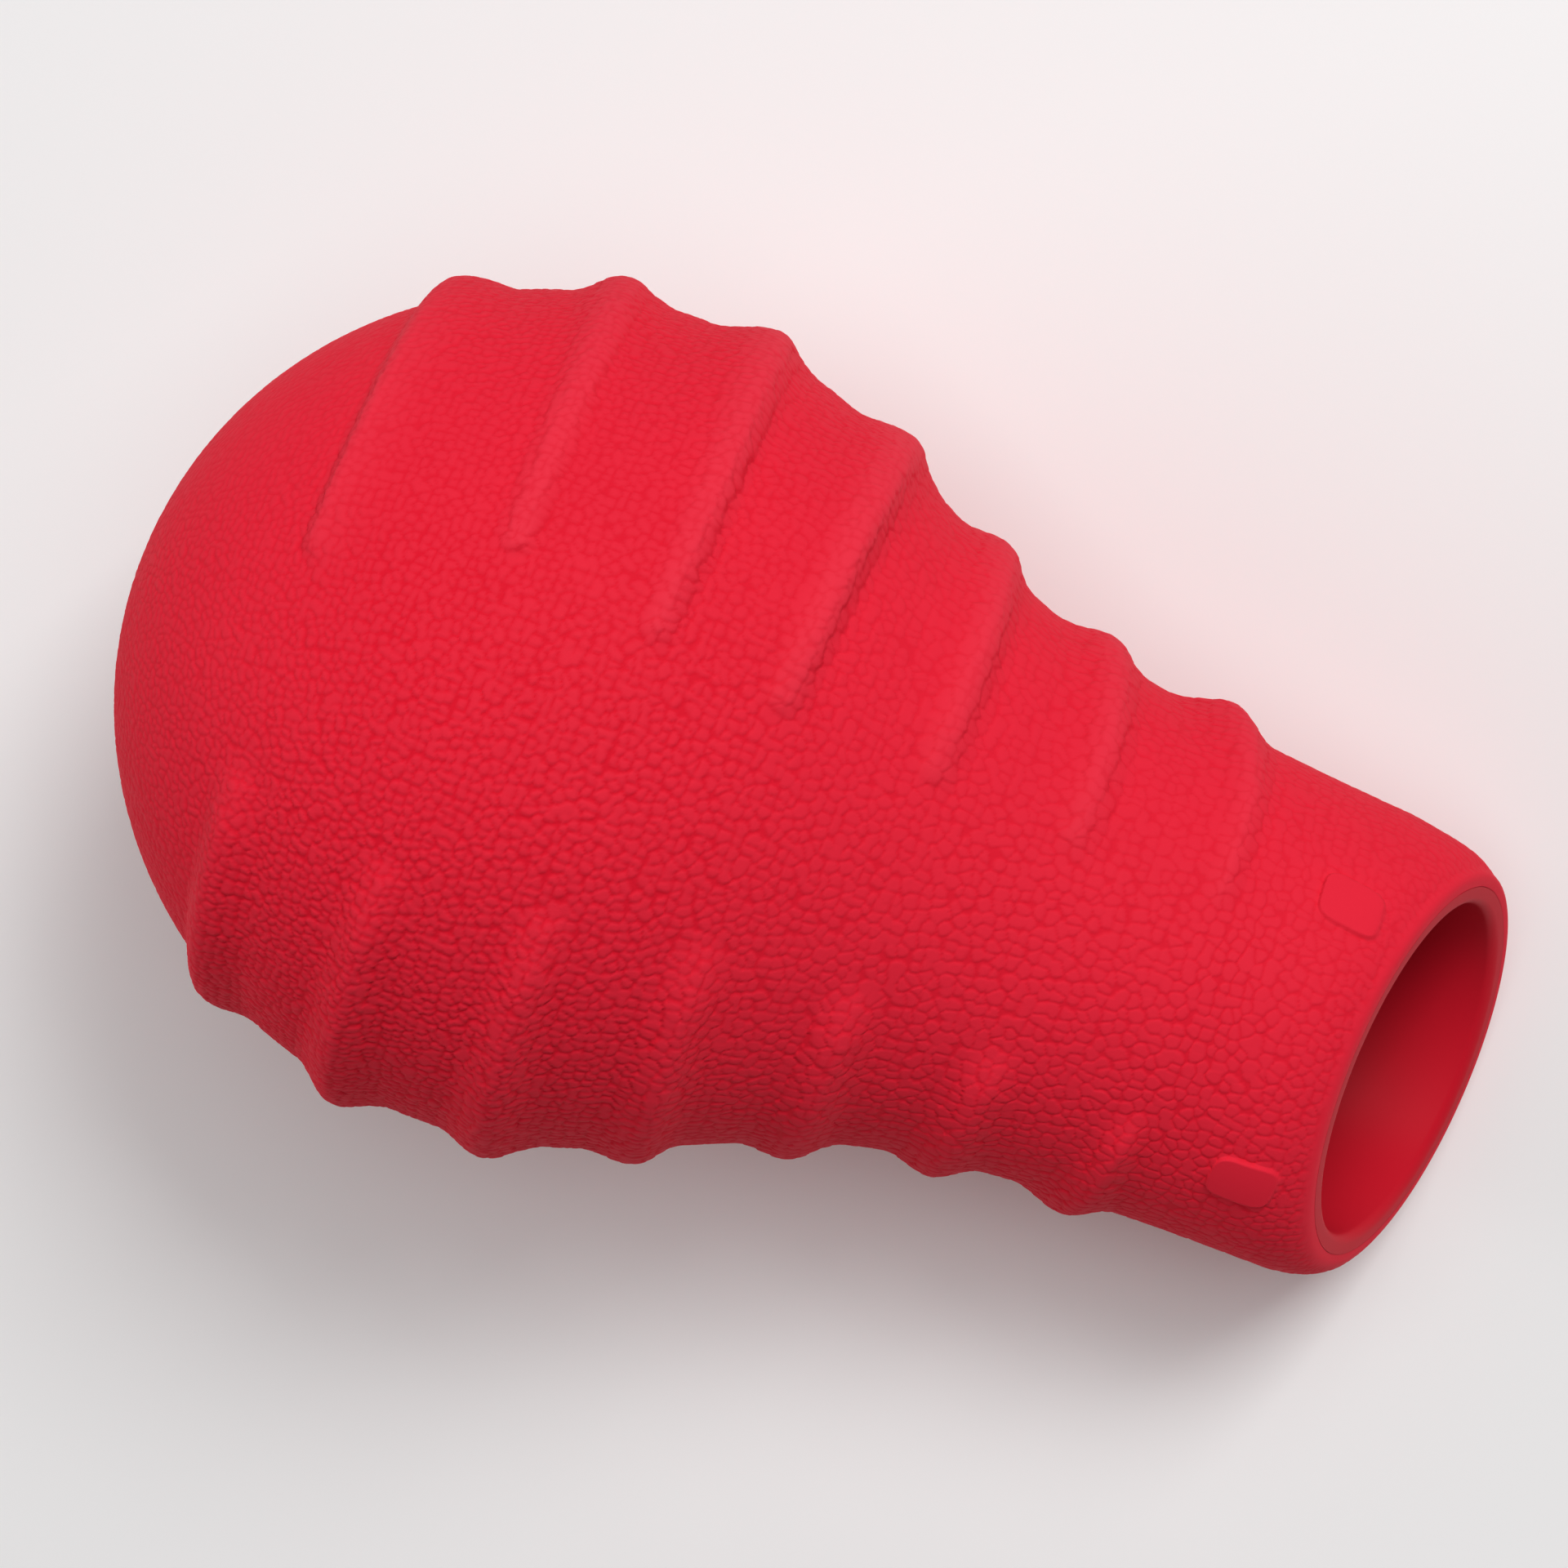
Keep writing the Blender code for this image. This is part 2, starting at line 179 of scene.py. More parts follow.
# The rim is bare for this far before the mouth's plane, and the grain comes in over the fade
RIM_BARE = 0.05
RIM_FADE = 0.9
# Ridges this high are wholly worn and take the whole pale crest colour, which is partly a painted highlight;
# the lower fan's, on the less lit side, take both by the share, and the fans blend over a sine
WORN_AND_HIGHLIT_RIDGE = 0.9
LOWER_FAN_WEAR_AND_HIGHLIGHT_SHARE = 0.3
FAN_BLEND = 0.5

# Plain raised pads beside the mouth
PAD_LENGTH = 8.0
PAD_WIDTH = 6.5
PAD_HEIGHT = 0.5
PAD_STATION = 151.0
PAD_ANGLE_DEG = 37.5
PAD_EDGE_EASING = 0.35

# Fineness of the profiles and meshes
LINE_POINTS = 800
ROUNDING_POINTS = 60
LEAST_RADIUS = 1.0
AROUND = 1120
ROW_PITCH = 0.262
SKIN_RINGS = 12
BACK_ROWS = 4
LINER_AROUND = 300
LINER_ROW_PITCH = 1.4
LINER_BACK_ROW_PITCH = 3.0 * LINER_ROW_PITCH
LINER_EDGE_STEP = 6
SHARP_EDGE_DEG = 50.0

# Painted shade in the bore: its red darkens from just inside the mouth over this depth
BORE_SHADE_START = 1.5
BORE_SHADE_DEPTH = 20.0

rng = np.random.default_rng(7)


def smooth_step(value):
    """Eased step: 3 t squared less 2 t cubed, with t held between 0 and 1."""
    t = np.clip(value, 0.0, 1.0)
    return t * t * (3.0 - 2.0 * t)


def eased_over(value, span):
    """Eased step that begins at the span's first value and is whole at its second."""
    return smooth_step((value - span[0]) / (span[1] - span[0]))


def spline(stations, radii, at):
    """Natural cubic through the points that starts level: each span blends its end values and end bends."""
    x = np.asarray(stations, dtype=float)
    y = np.asarray(radii, dtype=float)
    h = np.diff(x)
    last = len(x) - 1
    system = np.zeros((last + 1, last + 1))
    right = np.zeros(last + 1)
    system[0, :2] = (2.0 * h[0], h[0])
    right[0] = 6.0 * (y[1] - y[0]) / h[0]
    for i in range(1, last):
        system[i, i - 1:i + 2] = (h[i - 1], 2.0 * (h[i - 1] + h[i]), h[i])
        right[i] = 6.0 * ((y[i + 1] - y[i]) / h[i] - (y[i] - y[i - 1]) / h[i - 1])
    system[last, last] = 1.0
    bend = np.linalg.solve(system, right)
    k = np.clip(np.searchsorted(x, at) - 1, 0, last - 1)
    a = (x[k + 1] - at) / h[k]
    b = (at - x[k]) / h[k]
    return a * y[k] + b * y[k + 1] + ((a**3 - a) * bend[k] + (b**3 - b) * bend[k + 1]) * h[k] ** 2 / 6.0


def wall_line(inset, end_station):
    """Fine (station, radius) line of a surface in the rubber: quarter ellipse over the bulb, then the cubic.

    The inset is measured outwards from the bore; None is the outer skin."""
    stations = (CROWN_LENGTH, SHOULDER_STATION, FLANK_STATION, NECK_STATION, THROAT_STATION, MOUTH_STATION)
    radii = (BULB_RADIUS, SHOULDER_RADIUS, FLANK_RADIUS, NECK_RADIUS, THROAT_RADIUS, MOUTH_RADIUS)
    walls = (BULB_WALL, BULB_WALL, BULB_WALL, BULB_WALL, THROAT_WALL, MOUTH_WALL)
    pole = 0.0
    if inset is not None:
        radii = tuple(r - w + inset for r, w in zip(radii, walls))
        pole = BULB_WALL - inset
    turn = np.linspace(0.0, 0.5 * math.pi, LINE_POINTS)
    crown = np.column_stack((CROWN_LENGTH - (CROWN_LENGTH - pole) * np.cos(turn), radii[0] * np.sin(turn)))
    along = np.linspace(CROWN_LENGTH, end_station, LINE_POINTS)[1:]
    return np.vstack((crown, np.column_stack((along, spline(stations, radii, along)))))


def quarter_round(radius, lengthwise, inward):
    """Quarter ellipse that ends in the mouth plane and draws in by the inward size, below 0 in the bore."""
    turn = np.linspace(0.0, 0.5 * math.pi, ROUNDING_POINTS)[1:]
    stations = MOUTH_STATION - lengthwise + lengthwise * np.sin(turn)
    return np.column_stack((stations, radius - inward * (1.0 - np.cos(turn))))


def run_along(line):
    """Distance along a line of points, from its start to each point."""
    steps = np.hypot(*np.diff(line, axis=0).T)
    return np.concatenate(((0.0,), np.cumsum(steps)))


def even_rows(line, pitch):
    """The line's points read again at even steps of about the pitch, ends included."""
    run = run_along(line)
    at = np.linspace(0.0, run[-1], max(2, round(run[-1] / pitch)) + 1)
    return np.column_stack((np.interp(at, run, line[:, 0]), np.interp(at, run, line[:, 1])))


def angles_round(count):
    """Evenly spaced angles round the axis, the last one step short of the first."""
    return np.linspace(0.0, FULL_TURN, count, endpoint=False)[None, :]


def slant_share(station):
    """How much of the mouth's slant a station takes: 0 on the bulb, 1 at the mouth."""
    return eased_over(station, (SLANT_START_STATION, SLANT_FULL_STATION))


def toy_place():
    """Axis, upward and sideways directions of the toy, and its pole, read from the mouth's mount."""
    mount = next(m for m in frame["record"]["mounts"] if m["name"] == "mouth_rim")
    slant = math.radians(MOUTH_SLANT_DEG)
    normal = mount["axis"]
    tip = slant - math.atan2(normal[2], normal[0])
    along = np.array((math.cos(tip), 0.0, -math.sin(tip)))
    upward = np.array((math.sin(tip), 0.0, math.cos(tip)))
    low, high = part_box("inner_liner")
    mark = np.array((mount["pos_m"][0], 0.5 * (low.y + high.y), mount["pos_m"][2])) / MM
    station = MOUTH_STATION + math.tan(slant) * RIM_MARK_RADIUS
    return along, upward, np.array((0.0, 1.0, 0.0)), mark - along * station + upward * RIM_MARK_RADIUS


ALONG, UPWARD, SIDEWAYS, POLE = toy_place()


def placed(station, radius, angle):
    """Points in space: each station is sheared by its height over the axis, for the mouth's slant, and by its
    place to the side, for its small turn; then the axis is laid out.

    Nothing goes below the floor, which presses the bulb flat where the toy rests."""
    height = radius * np.cos(angle)
    side = radius * np.sin(angle)
    lean = math.tan(math.radians(MOUTH_SLANT_DEG)) * height
    lean = lean + math.tan(math.radians(MOUTH_YAW_DEG)) * (side + MOUTH_YAW_SIDE)
    sheared = station - slant_share(station) * lean
    points = sheared[..., None] * ALONG + height[..., None] * UPWARD + side[..., None] * SIDEWAYS + POLE
    points[..., 2] = np.maximum(points[..., 2], 0.0)
    return points * MM


def rib_layer(ribs, line_station, station, radius, folded):
    """Ribs of one fan: a broad swell, (1 - u squared) squared, with a narrow round-ended ridge on it.

    The ridge is slightly domed inside its half width and falls by an eased step. Before the tip's centre the
    distance from the crest becomes the distance from that centre, so the end is round. A narrow dip, a bell
    curve, follows the foot of the crisp flanks. Gives the height, the crease and the ridge's own height."""
    raised = np.zeros(folded.shape)
    crease = np.zeros(folded.shape)
    ridged = np.zeros(folded.shape)
    for tip, crests, bulb_half, mouth_half, swell, ridge, bulb_soft, mouth_soft in ribs:
        rows = np.flatnonzero(np.abs(line_station - crests[1]) < RIB_REACH)
        part = slice(rows[0], rows[-1] + 1)
        angle = folded[part]
        beyond = angle - tip

        across = station[part] - np.interp(beyond, RIB_ANGLES, crests)
        bulb_width = np.interp(beyond, RIB_ANGLES, bulb_half)
        mouth_width = np.interp(beyond, RIB_ANGLES, mouth_half)
        width = np.where(across < 0.0, bulb_width, mouth_width)
        bell = np.clip(1.0 - (across / width) ** 2, 0.0, 1.0) ** 2
        lifted = np.interp(beyond, RIB_ANGLES, swell) * bell * eased_over(beyond, SWELL_RISE)
        raised[part] = np.maximum(raised[part], lifted)

        half = np.interp(beyond, RIB_ANGLES, RIDGE_HALF_WIDTHS)
        before = np.radians(np.maximum(tip + np.degrees(half / radius[part]) - angle, 0.0)) * radius[part]
        away = np.hypot(across, before)
        toward_mouth = smooth_step(0.5 + across / FLANK_CHANGE)
        blur = np.interp(beyond, FLANK_ANGLES, bulb_soft) * (1.0 - toward_mouth)
        blur = blur + np.interp(beyond, FLANK_ANGLES, mouth_soft) * toward_mouth
        step = 1.0 - smooth_step((away - half + blur) / (2.0 * blur))
        dome = RIDGE_LEVEL_SHARE + RIDGE_DOME_SHARE * np.clip(1.0 - (away / (half + blur)) ** 2, 0.0, 1.0)
        ridged[part] = np.maximum(ridged[part], np.interp(beyond, RIB_ANGLES, ridge) * step * dome)

        foot = np.exp(-(((away - half - blur - CREASE_OFFSET) / CREASE_WIDTH) ** 2))
        crisp = np.clip((CRISP_LIMIT - blur) / CRISP_RANGE, 0.0, 1.0) * eased_over(beyond, CREASE_RISE)
        crease[part] = np.maximum(crease[part], foot * crisp * (1.0 - eased_over(beyond, CREASE_FADE)))
    return raised + ridged, crease, ridged


def rib_relief(line_station, station, radius, angle):
    """Height, creases and ridges of both fans; the far side of the toy repeats the near one."""
    folded = np.degrees(np.arctan2(np.abs(np.sin(angle)), np.abs(np.cos(angle))))
    is_upper = np.sin(angle) > 0.0
    upper = rib_layer(UPPER_RIBS, line_station, station, radius, folded)
    lower = rib_layer(LOWER_RIBS, line_station, station, radius, folded)
    return [np.where(is_upper, above, below) for above, below in zip(upper, lower)]


def pad_share(station, radius, angle):
    """1 on the two plain pads beside the mouth and 0 off them: a rounded oblong by a fourth power rule."""
    share = np.zeros(station.shape)
    lengthwise = np.abs(station - PAD_STATION) / (0.5 * PAD_LENGTH)
    for sign in (1.0, -1.0):
        turned = np.radians(sign * PAD_ANGLE_DEG)
        off = np.mod(angle - turned + math.pi, FULL_TURN) - math.pi
        form = lengthwise ** 4 + (np.abs(off) * radius / (0.5 * PAD_WIDTH)) ** 4
        share = np.maximum(share, smooth_step((1.0 - form) / PAD_EDGE_EASING + 0.5))
    return share


def wandering(at):
    """Smooth random shift of points: each direction sums sines of the place along random lines."""
    waves = np.random.default_rng(11)
    shift = np.zeros(at.shape)
    for _ in range(WANDER_WAVES):
        line = waves.normal(size=3)
        line *= FULL_TURN / (WANDER_LENGTH * waves.uniform(*WANDER_SPREAD) * np.linalg.norm(line))
        phase = waves.uniform(0.0, FULL_TURN)
        push = waves.normal(size=3)
        shift += np.sin(at @ line + phase)[..., None] * push
    return shift / math.sqrt(WANDER_WAVES)


class Pebbles:
    """Seeds of the grain: rows one pitch apart along the form, each evenly seeded and then shaken.

    Some seeds join their neighbour in the row or in the row before, and then share one pebble."""

    def __init__(self, line):
        self.run = run_along(line)
        self.line = line
        pitch = np.interp(line[:, 0], PEBBLE_STATIONS, PEBBLE_PITCHES)
        passed = np.concatenate(((0.0,), np.cumsum(np.diff(self.run) / pitch[1:])))
        rows = int(passed[-1])
        self.centre = np.interp(np.arange(rows) + 0.5, passed, self.run)
        pitch = np.interp(self.centre, self.run, pitch)
        self.count = np.maximum(3, np.round(FULL_TURN * self.radius(self.centre) / pitch)).astype(int)
        widest = self.count.max()
        number = np.arange(widest)[None, :] + rng.random((rows, 1))
        shake = rng.uniform(-PEBBLE_SHAKE, PEBBLE_SHAKE, (2, rows, widest))
        turn = FULL_TURN * (number + shake[0]) / self.count[:, None]
        self.seed = self.point(self.centre[:, None] + shake[1] * pitch[:, None], turn)
        self.start = number[:, 0] * FULL_TURN / self.count
        self.height = rng.uniform(*PEBBLE_HEIGHT_SPREAD, (rows, widest))
        self.reach = PEBBLE_REACH * pitch[:, None] * rng.uniform(*PEBBLE_REACH_SPREAD, (rows, widest))
        joins_next = rng.random((rows, widest)) < JOIN_NEXT_SHARE
        joins_above = rng.random((rows, widest)) < JOIN_ABOVE_SHARE
        self.group = np.arange(rows * widest).reshape(rows, widest)
        for place in range(1, widest):
            joined = self.group[:, place - 1]
            self.group[:, place] = np.where(joins_next[:, place - 1], joined, self.group[:, place])
        for row in range(1, rows):
            above = np.round((turn[row] - self.start[row - 1]) / FULL_TURN * self.count[row - 1])
            joined = self.group[row - 1, above.astype(int) % self.count[row - 1]]
            self.group[row] = np.where(joins_above[row], joined, self.group[row])

    def radius(self, run):
        """Radius of the form at distances along it."""
        return np.interp(run, self.run, self.line[:, 1])

    def point(self, run, turn):
        """Point on the form at a distance along it and an angle round it."""
        station = np.interp(run, self.run, self.line[:, 0])
        radius = self.radius(run)
        return np.stack((station, radius * np.cos(turn), radius * np.sin(turn)), axis=-1)

    def near(self, run, turn):
        """Row and place in it of the seeds round each point, two rows and two places to every side."""
        rows = len(self.count)
        row = np.round(np.interp(run, self.centre, np.arange(rows))).astype(int)
        for step in range(-NEIGHBOURS, NEIGHBOURS + 1):
            k = np.clip(row + step, 0, rows - 1)
            j = np.round((turn - self.start[k]) / FULL_TURN * self.count[k]).astype(int)
            for side in range(-NEIGHBOURS, NEIGHBOURS + 1):
                yield k, np.mod(j + side, self.count[k])

    def relief(self, run, turn):
        """Cushion height, 0 in a crevice and 1 on a pebble, its own height factor, and the way to its seed.

        The nearest seed owns the point. The edge distance to each seed of another pebble is the difference of
        the squared distances over twice the seeds' spacing, and the least is softened. A pebble also ends at
        its seeds' reach, which rounds it. A quarter circle leads up from the crevice to the flat top."""
        here = self.point(run, turn)
        at = here + WANDER * wandering(here)
        nearest = np.full(run.shape, np.inf)
        owner_row = np.zeros(run.shape, int)
        owner_place = np.zeros(run.shape, int)
        for k, j in self.near(run, turn):
            away = ((at - self.seed[k, j]) ** 2).sum(-1)
            closer = away < nearest
            nearest = np.where(closer, away, nearest)
            owner_row = np.where(closer, k, owner_row)
            owner_place = np.where(closer, j, owner_place)
        own = self.seed[owner_row, owner_place]
        own_group = self.group[owner_row, owner_place]
        softened = np.zeros(run.shape)
        inside = np.full(run.shape, -np.inf)
        for k, j in self.near(run, turn):
            other = self.seed[k, j]
            same = self.group[k, j] == own_group
            away = ((at - other) ** 2).sum(-1)
            inside = np.where(same, np.maximum(inside, self.reach[k, j] - np.sqrt(away)), inside)
            spacing = np.where(same, 1.0, np.sqrt(((other - own) ** 2).sum(-1)))
            edge = (away - nearest) / (2.0 * spacing)
            softened += np.where(same, 0.0, np.exp(-edge / CORNER_ROUNDING))
        edge = np.minimum(-CORNER_ROUNDING * np.log(np.maximum(softened, TINY)), inside)
        share = np.clip((edge - GROOVE_HALF_WIDTH) / PEBBLE_SHOULDER, 0.0, 1.0)
        off = np.arctan2(own[..., 2], own[..., 1]) - np.arctan2(here[..., 2], here[..., 1])
        off = np.mod(off + math.pi, FULL_TURN) - math.pi
        cushion = np.sqrt(1.0 - (1.0 - share) ** 2)
        return cushion, self.height[owner_row, owner_place], own[..., 0] - here[..., 0], off


def grain_strength(station, slanted_station, angle, crest, pad):
    """Share of its full height that the grain has: eased losses by station and angle, times each other."""
    at_mouth = eased_over(slanted_station, GRAIN_MOUTH_SPAN)
    grain = (1.0 - GRAIN_CREST_LOSS * crest) * (1.0 - GRAIN_MOUTH_LOSS * at_mouth) * (1.0 - pad)
    grain = grain * (1.0 - GRAIN_UPPER_LOSS * eased_over(np.sin(angle), GRAIN_UPPER_SPAN))
    gain = GRAIN_BULB_GAIN * eased_over(station, GRAIN_BULB_SPAN)
    loss = GRAIN_NECK_LOSS * eased_over(station, GRAIN_NECK_SPAN)
    return grain * (GRAIN_AT_POLE + gain - loss)


def outward_normals(points):
    """Unit normals of a grid of points: the cross product of its steps down the rows and round them."""
    down = np.empty(points.shape)
    down[1:-1] = points[2:] - points[:-2]
    down[0] = points[1] - points[0]
    down[-1] = points[-1] - points[-2]
    round_about = np.roll(points, -1, axis=1) - np.roll(points, 1, axis=1)
    normal = np.cross(down, round_about)
    normal[0] = -ALONG
    return normal / np.maximum(np.linalg.norm(normal, axis=-1, keepdims=True), TINY)


def skin_grid():
    """All outer points of the body in rows from pole to rim, with their normals, crevice shares, which the
    material paints as shade, and crest shares, for a paler crest colour that is partly wear and partly a
    painted highlight.

    Ribs, crease, grain, pads and the lip's easing add up to one lift, which moves each point of the outer
    line square to it."""
    side = wall_line(None, MOUTH_STATION - LIP_ROUNDING_ALONG)
    lip = quarter_round(side[-1, 1], LIP_ROUNDING_ALONG, LIP_ROUNDING_ACROSS)
    rim = np.array(((MOUTH_STATION, MOUTH_RADIUS - MOUTH_WALL + LINER_WALL + SEAM_GAP),))
    line = even_rows(np.vstack((side, lip, rim)), ROW_PITCH)
    slope = np.gradient(line, axis=0)
    slope /= np.hypot(*slope.T)[:, None]
    station = line[:, :1]
    radius = line[:, 1:]
    angle = np.broadcast_to(angles_round(AROUND), (len(line), AROUND))
    run = run_along(line)[:, None]

    shift = -slant_share(station) * math.tan(math.radians(MOUTH_SLANT_DEG)) * radius * np.cos(angle)
    on_side = smooth_step((MOUTH_STATION - RIM_BARE - station) / RIM_FADE) * np.ones(angle.shape)
    safe_radius = np.maximum(radius, LEAST_RADIUS)
    pad = pad_share(station + shift, safe_radius, angle)
    pebbles = Pebbles(wall_line(None, MOUTH_STATION + GRAIN_SHEET_EXTRA))
    cushion, height, ahead, beside = pebbles.relief(run + shift, angle)
    held_station = station + PEBBLE_HOLD * ahead
    held_angle = angle + PEBBLE_HOLD * beside
    full_radius = safe_radius * np.ones(angle.shape)
    raised, crease, ridged = rib_relief(line[:, 0], held_station, full_radius, held_angle)

    # The upper fan, on the lit side, takes the full pale crest colour, which is partly a painted highlight
    is_upper = smooth_step(0.5 + np.sin(angle) / FAN_BLEND)
    wear_and_highlight_share = LOWER_FAN_WEAR_AND_HIGHLIGHT_SHARE + (1.0 - LOWER_FAN_WEAR_AND_HIGHLIGHT_SHARE) * is_upper
    crest = np.clip(ridged / WORN_AND_HIGHLIT_RIDGE, 0.0, 1.0) * wear_and_highlight_share
    grain = grain_strength(station, station + shift, angle, crest, pad) * on_side
    lift = raised * on_side - CREASE_DEPTH * crease
    lift = lift + PEBBLE_HEIGHT * grain * (cushion * height - PEBBLE_MIDDLE)
    lift = lift + PAD_HEIGHT * pad
    before_mouth = smooth_step((station - MOUTH_STATION + LIP_EASING_START) / LIP_EASING_RUN)
    lift = lift - LIP_EASING * before_mouth * on_side * (0.5 + 0.5 * np.sin(angle))
    points = placed(station + slope[:, 1:] * -lift, np.maximum(radius + slope[:, :1] * lift, 0.0), angle)
    return line, points, outward_normals(points), (1.0 - cushion) * grain, crest * on_side


def cavity_of(line):
    """For each row of the skin, the point of the body's cavity behind it."""
    inset = LINER_WALL + SEAM_GAP
    cavity = wall_line(inset, MOUTH_STATION)
    pole = BULB_WALL - inset
    share = 1.0 - np.clip(line[:, 0] / CROWN_LENGTH, 0.0, 1.0)
    station = np.where(line[:, 0] < CROWN_LENGTH, CROWN_LENGTH - (CROWN_LENGTH - pole) * share, line[:, 0])
    return np.column_stack((station, np.interp(station, cavity[:, 0], cavity[:, 1])))


def mesh_of_rows(name, rows, closed, has_pole):
    """Mesh of rings of points, row after row, in four-sided faces; a pole row shrinks to one point.

    Each face joins a point, the one in the next row, that one's neighbour and its own neighbour."""
    count, around = rows.shape[:2]
    number = np.arange(count * around).reshape(count, around)
    if has_pole:
        number[0] = number[0, 0]
        number[-1] = number[-1, 0]
    below = np.vstack((number[1:], number[:1])) if closed else number[1:]
    above = number if closed else number[:-1]
    quads = np.stack((above, below, np.roll(below, -1, axis=1), np.roll(above, -1, axis=1)), axis=-1)
    if has_pole:
        tops = quads[0][:, (0, 1, 2)]
        ends = quads[-1][:, (0, 1, 3)]
        quads = quads[1:-1]
    quads = quads.reshape(-1, 4)
    corners = quads.ravel()
    sizes = np.full(len(quads), 4)
    if has_pole:
        corners = np.concatenate((corners, tops.ravel(), ends.ravel()))
        sizes = np.concatenate((sizes, np.full(len(tops) + len(ends), 3)))
    used, corners = np.unique(corners, return_inverse=True)
    mesh = bpy.data.meshes.new(name)
    mesh.vertices.add(len(used))
    mesh.vertices.foreach_set("co", rows.reshape(-1, 3)[used].astype(np.float32).ravel())
    mesh.loops.add(len(corners))
    mesh.loops.foreach_set("vertex_index", corners.astype(np.int32).ravel())
    mesh.polygons.add(len(sizes))
    mesh.polygons.foreach_set("loop_start", (np.cumsum(sizes) - sizes).astype(np.int32))
    mesh.update(calc_edges=True)
    mesh.validate()
    return mesh, used


def put_in_scene(name, mesh, material):
    """A piece that rides with the toy and takes the finish it is given."""
    piece = bpy.data.objects.new(name, mesh)
    bpy.context.scene.collection.objects.link(piece)
    mesh.materials.append(material)
    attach(piece, "root")
    return piece


def add_reading(mesh, name, values):
    """A number at each point of the mesh, for the material to read."""
    reading = mesh.attributes.new(name, "FLOAT", "POINT")
    reading.data.foreach_set("value", values.astype(np.float32))


def make_skin(material):
    """The body in rings cut square to the axis, each a closed slice of the rubber wall."""
    line, points, normal, crevice, wear_and_highlight = skin_grid()
    inner = cavity_of(line)
    cuts = np.linspace(0, len(line) - 1, SKIN_RINGS + 1).round().astype(int)
    for ring, (first, last) in enumerate(zip(cuts[:-1], cuts[1:])):
        back = np.linspace(last, first, BACK_ROWS).round().astype(int)
        if last == len(line) - 1:
            back = back[1:]
        behind = placed(inner[back, :1], inner[back, 1:], angles_round(AROUND))
        rows = np.concatenate((points[first:last + 1], behind))
        name = f"body_rubber_ring_{ring + 1}"
        mesh, used = mesh_of_rows(name, rows, ring > 0, ring == 0)
        blank = np.zeros((len(back), AROUND))
        facing = np.concatenate((normal[first:last + 1], np.zeros((len(back), AROUND, 3))))
        # The crevice reading drives painted shade in the grooves, and the crest reading a paler crest colour
        # that is partly a painted highlight
        add_reading(mesh, "crevice", np.concatenate((crevice[first:last + 1], blank)).ravel()[used])
        add_reading(mesh, "wear_and_highlight", np.concatenate((wear_and_highlight[first:last + 1], blank)).ravel()[used])
        mesh.normals_split_custom_set_from_vertices(facing.reshape(-1, 3)[used])
        put_in_scene(name, mesh, material)
    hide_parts("outer_body")


def make_lining(material):
    """Lining cup: its back, its rounded edge in the mouth plane and the smooth bore and chamber."""
    back = even_rows(wall_line(LINER_WALL + SEAM_GAP - FINE_SEAM, MOUTH_STATION), LINER_BACK_ROW_PITCH)
    bore = wall_line(0.0, MOUTH_STATION - LINER_EDGE_ROUNDING)
    edge = quarter_round(bore[-1, 1], LINER_EDGE_ROUNDING, -LINER_EDGE_ROUNDING)
    front = np.vstack((even_rows(bore, LINER_ROW_PITCH), edge[LINER_EDGE_STEP - 1::LINER_EDGE_STEP]))
    line = np.vstack((back, front[::-1]))
    rows = placed(line[:, :1], line[:, 1:], angles_round(LINER_AROUND))
    mesh, used = mesh_of_rows("lining_cup", rows, False, True)
    # How far each row lies into the painted shade of the bore
    deeper = smooth_step((MOUTH_STATION - BORE_SHADE_START - line[:, :1]) / BORE_SHADE_DEPTH)
    add_reading(mesh, "deeper", np.repeat(deeper, LINER_AROUND, axis=1).ravel()[used])
    piece = put_in_scene("lining_cup", mesh, material)
    mesh.set_sharp_from_angle(angle=math.radians(SHARP_EDGE_DEG))
    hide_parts("inner_liner")


# Finishes: colours are sRGB hex values, a pattern's fineness is how many of its features fit a millimetre,
# and its depth is in millimetres. Shine is the shader's specular level, far under its usual 0.5, because the
# dusty rubber shows no highlights
RUBBER_REDS = ("E0263A", "E8283C")
# The crest pink is partly blooming and wear of the rubber and partly a painted highlight
BLOOM_AND_HIGHLIGHT_PINK = "F04A5C"
BLOOM_AND_HIGHLIGHT_SHARE = 0.22
# The crevice red is painted shade: a deeper, darker red where the grooves between the pebbles lie in shade
CREVICE_SHADE_RED = "D60822"
CREVICE_SHADE_SHARE = 0.55
BORE_MOUTH_RED = "C8182A"
# Darker reds further into the bore: painted shade
BORE_SHADE_REDS = ("78080F", "800B13")
BOARD_WHITE = "F4F4F4"
TONE_DRIFT_PER_MM = 0.06
TALC_SPECKS_PER_MM = 2.6
TALC_DEPTH = 0.06
TALC_STRENGTH = 0.25
RUBBER_ROUGHNESS = (0.5, 0.62)
RUBBER_SHINE = 0.02
BORE_DRIFT_PER_MM = 0.045
BORE_GRAIN_PER_MM = 1.8
BORE_GRAIN_DEPTH = 0.05
BORE_GRAIN_STRENGTH = 0.12
BORE_ROUGHNESS = 0.5
BORE_SHINE = 0.04
BOARD_ROUGHNESS = 0.9
BOARD_SHINE = 0.1


def colour(code):
    """Linear colour from an sRGB hex code: each part over 12.92, or its eased power 2.4 above 0.04045."""
    parts = [int(code[i:i + 2], 16) / 255.0 for i in (0, 2, 4)]
    return tuple(p / 12.92 if p <= 0.04045 else ((p + 0.055) / 1.055) ** 2.4 for p in parts) + (1.0,)


def add_node(tree, kind, settings=None, links=None):
    """One shader node. Settings go to its properties or, by socket name or number, to its inputs; links feed
    its inputs."""
    node = tree.nodes.new(kind)
    for key, value in (settings or {}).items():
        if isinstance(key, str) and hasattr(node, key):
            setattr(node, key, value)
        else:
            node.inputs[key].default_value = value
    for key, source in (links or {}).items():
        tree.links.new(source, node.inputs[key])
    return node


